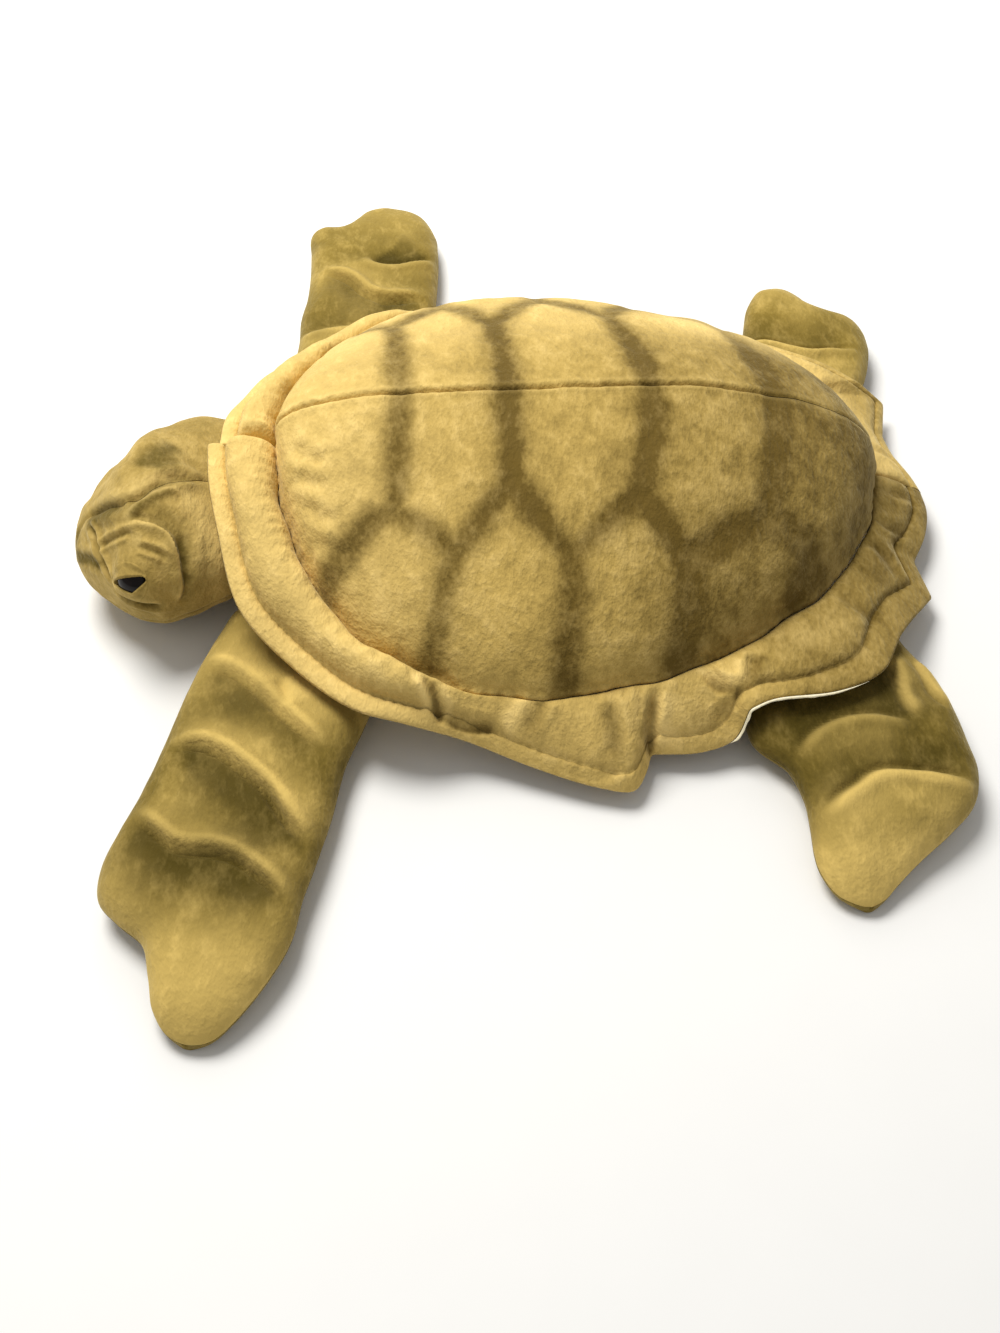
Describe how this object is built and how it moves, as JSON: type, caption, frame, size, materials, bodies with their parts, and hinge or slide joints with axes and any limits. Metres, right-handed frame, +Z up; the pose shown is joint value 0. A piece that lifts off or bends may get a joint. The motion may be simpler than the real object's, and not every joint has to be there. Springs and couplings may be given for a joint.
{
  "type": "plush sea turtle",
  "caption": "Floppy plush sea turtle lying on its belly: domed shell with a wavy padded rim, a turned head with button eyes, long front and short rear flippers.",
  "frame": {"origin": "on the flat of the belly, on the surface the turtle lies on, 16 mm behind the shell's widest station", "axes": "+Z up; -X towards the nose, with the head turned 15 degrees to the turtle's left; -Y towards the turtle's left side"},
  "size_m": [0.4694, 0.6137, 0.103],
  "materials": {
    "shell_plush": "short pile plush, mottled golden khaki",
    "limb_plush": "short pile plush, mottled olive gold",
    "belly_plush": "short pile plush, pale straw",
    "wadding": "loose polyester fibre",
    "eye_plastic": "polished",
    "washer_plastic": "moulded"
  },
  "bodies": {
    "shell": {"carapace_left_panel": "shell_plush", "carapace_right_panel": "shell_plush", "belly_panel": "belly_plush", "body_wadding": "wadding", "rim_left_cover": "shell_plush", "rim_left_wadding": "wadding", "rim_left_underside": "shell_plush", "rim_right_cover": "shell_plush", "rim_right_wadding": "wadding", "rim_right_underside": "shell_plush", "front_left_flipper_root": "limb_plush", "front_right_flipper_root": "limb_plush", "rear_left_flipper_root": "limb_plush", "rear_right_flipper_root": "limb_plush"},
    "neck": {"neck_sleeve": "limb_plush", "neck_wadding": "wadding"},
    "head": {"chin_panel": "limb_plush", "head_left_panel": "limb_plush", "head_right_panel": "limb_plush", "head_wadding": "wadding", "eye_left": "eye_plastic", "eye_right": "eye_plastic", "eye_washer_left": "washer_plastic", "eye_washer_right": "washer_plastic"},
    "front_left_flipper": {"front_left_flipper_upper": "limb_plush", "front_left_flipper_lower": "limb_plush", "front_left_flipper_wadding": "wadding"},
    "front_right_flipper": {"front_right_flipper_upper": "limb_plush", "front_right_flipper_lower": "limb_plush", "front_right_flipper_wadding": "wadding"},
    "rear_left_flipper": {"rear_left_flipper_upper": "limb_plush", "rear_left_flipper_lower": "limb_plush", "rear_left_flipper_wadding": "wadding"},
    "rear_right_flipper": {"rear_right_flipper_upper": "limb_plush", "rear_right_flipper_lower": "limb_plush", "rear_right_flipper_wadding": "wadding"}
  },
  "joints": [
    {"name": "neck_turn", "type": "hinge", "parent": "shell", "child": "neck", "pos_m": [-0.141, 0, 0.033], "axis": [0, 0, 1], "range_deg": [-15, 6]},
    {"name": "head_nod", "type": "hinge", "parent": "neck", "child": "head", "pos_m": [-0.189, -0.011, 0.033], "axis": [-0.2588, 0.9659, 0], "range_deg": [0, 12]},
    {"name": "front_left_flap", "type": "hinge", "parent": "shell", "child": "front_left_flipper", "pos_m": [-0.14887, -0.12756, 0.0135], "axis": [-0.7193, 0.6947, 0], "range_deg": [0, 35]},
    {"name": "front_right_flap", "type": "hinge", "parent": "shell", "child": "front_right_flipper", "pos_m": [-0.11674, 0.14671, 0.0135], "axis": [0.9455, 0.3256, 0], "range_deg": [0, 35]},
    {"name": "rear_left_flap", "type": "hinge", "parent": "shell", "child": "rear_left_flipper", "pos_m": [0.1315, -0.16411, 0.013], "axis": [-0.9903, -0.1392, 0], "range_deg": [0, 30]},
    {"name": "rear_right_flap", "type": "hinge", "parent": "shell", "child": "rear_right_flipper", "pos_m": [0.14637, 0.11972, 0.013], "axis": [0.848, -0.5299, 0], "range_deg": [0, 30]}
  ]
}
